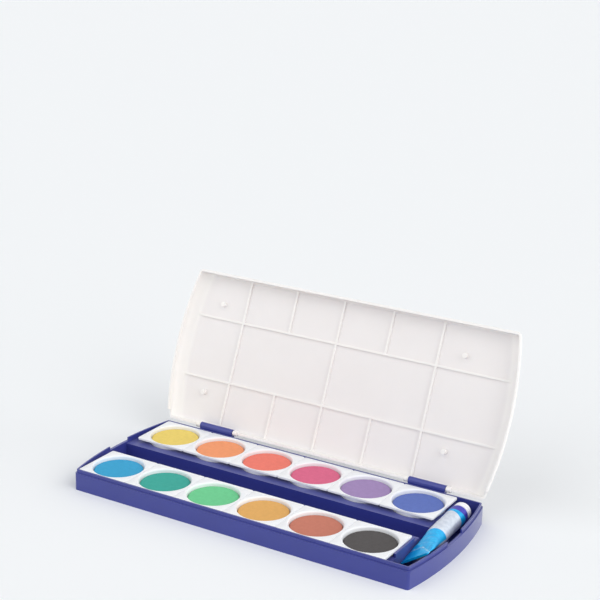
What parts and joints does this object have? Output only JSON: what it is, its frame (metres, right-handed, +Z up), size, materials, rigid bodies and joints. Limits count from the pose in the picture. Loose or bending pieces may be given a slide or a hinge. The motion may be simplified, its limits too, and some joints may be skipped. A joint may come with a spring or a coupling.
{
  "type": "gouache paint set box",
  "caption": "Shallow hinged paint box: a tray with two rows of lift-out round-cup pans, a brush channel and a tube bay, and a ribbed palette lid.",
  "frame": {"origin": "centre of the tray's underside", "axes": "+Z up, +X along the rows of pans towards the tube bay, +Y from the front wall to the hinges"},
  "size_m": [0.2392, 0.1424, 0.1085],
  "materials": {
    "tray_blue": "smooth moulded, slightly glossy",
    "lid_white": "smooth moulded, glossy",
    "pan_white": "smooth moulded",
    "paint_yellow": "matt pressed gouache",
    "paint_orange": "matt pressed gouache",
    "paint_vermilion": "matt pressed gouache",
    "paint_magenta": "matt pressed gouache",
    "paint_violet": "matt pressed gouache",
    "paint_ultramarine": "matt pressed gouache",
    "paint_cyan": "matt pressed gouache",
    "paint_turquoise": "matt pressed gouache",
    "paint_green": "matt pressed gouache",
    "paint_ochre": "matt pressed gouache",
    "paint_sienna": "matt pressed gouache",
    "paint_black": "matt pressed gouache",
    "tube_print": "lacquered soft aluminium, creased",
    "cap_white": "smooth moulded",
    "seal": "soft foam"
  },
  "bodies": {
    "tray": {"tray": "tray_blue"},
    "lid": {"lid": "lid_white"},
    "tube": {"tube": "tube_print"},
    "cap": {"tube_cap": "cap_white", "cap_seal": "seal"},
    "pan_01": {"pan_01": "pan_white", "paint_01": "paint_yellow"},
    "pan_02": {"pan_02": "pan_white", "paint_02": "paint_orange"},
    "pan_03": {"pan_03": "pan_white", "paint_03": "paint_vermilion"},
    "pan_04": {"pan_04": "pan_white", "paint_04": "paint_magenta"},
    "pan_05": {"pan_05": "pan_white", "paint_05": "paint_violet"},
    "pan_06": {"pan_06": "pan_white", "paint_06": "paint_ultramarine"},
    "pan_07": {"pan_07": "pan_white", "paint_07": "paint_cyan"},
    "pan_08": {"pan_08": "pan_white", "paint_08": "paint_turquoise"},
    "pan_09": {"pan_09": "pan_white", "paint_09": "paint_green"},
    "pan_10": {"pan_10": "pan_white", "paint_10": "paint_ochre"},
    "pan_11": {"pan_11": "pan_white", "paint_11": "paint_sienna"},
    "pan_12": {"pan_12": "pan_white", "paint_12": "paint_black"}
  },
  "joints": [
    {"name": "lid_hinge", "type": "hinge", "parent": "tray", "child": "lid", "pos_m": [0, 0.0506, 0.0147], "axis": [-1, 0, 0], "range_deg": [-113, 0]},
    {"name": "pan_01_lift", "type": "slide", "parent": "tray", "child": "pan_01", "axis": [0, 0, 1], "range_m": [0, 0.015]},
    {"name": "pan_02_lift", "type": "slide", "parent": "tray", "child": "pan_02", "axis": [0, 0, 1], "range_m": [0, 0.015]},
    {"name": "pan_03_lift", "type": "slide", "parent": "tray", "child": "pan_03", "axis": [0, 0, 1], "range_m": [0, 0.015]},
    {"name": "pan_04_lift", "type": "slide", "parent": "tray", "child": "pan_04", "axis": [0, 0, 1], "range_m": [0, 0.015]},
    {"name": "pan_05_lift", "type": "slide", "parent": "tray", "child": "pan_05", "axis": [0, 0, 1], "range_m": [0, 0.015]},
    {"name": "pan_06_lift", "type": "slide", "parent": "tray", "child": "pan_06", "axis": [0, 0, 1], "range_m": [0, 0.015]},
    {"name": "pan_07_lift", "type": "slide", "parent": "tray", "child": "pan_07", "axis": [0, 0, 1], "range_m": [0, 0.015]},
    {"name": "pan_08_lift", "type": "slide", "parent": "tray", "child": "pan_08", "axis": [0, 0, 1], "range_m": [0, 0.015]},
    {"name": "pan_09_lift", "type": "slide", "parent": "tray", "child": "pan_09", "axis": [0, 0, 1], "range_m": [0, 0.015]},
    {"name": "pan_10_lift", "type": "slide", "parent": "tray", "child": "pan_10", "axis": [0, 0, 1], "range_m": [0, 0.015]},
    {"name": "pan_11_lift", "type": "slide", "parent": "tray", "child": "pan_11", "axis": [0, 0, 1], "range_m": [0, 0.015]},
    {"name": "pan_12_lift", "type": "slide", "parent": "tray", "child": "pan_12", "axis": [0, 0, 1], "range_m": [0, 0.015]},
    {"name": "tube_lift", "type": "slide", "parent": "tray", "child": "tube", "axis": [0, 0, 1], "range_m": [0, 0.03]},
    {"name": "cap_turn", "type": "hinge", "parent": "tube", "child": "cap", "pos_m": [0.10507, 0.02965, 0.0094], "axis": [-0.0436, 0.999, 0], "range_deg": [0, 540]}
  ]
}
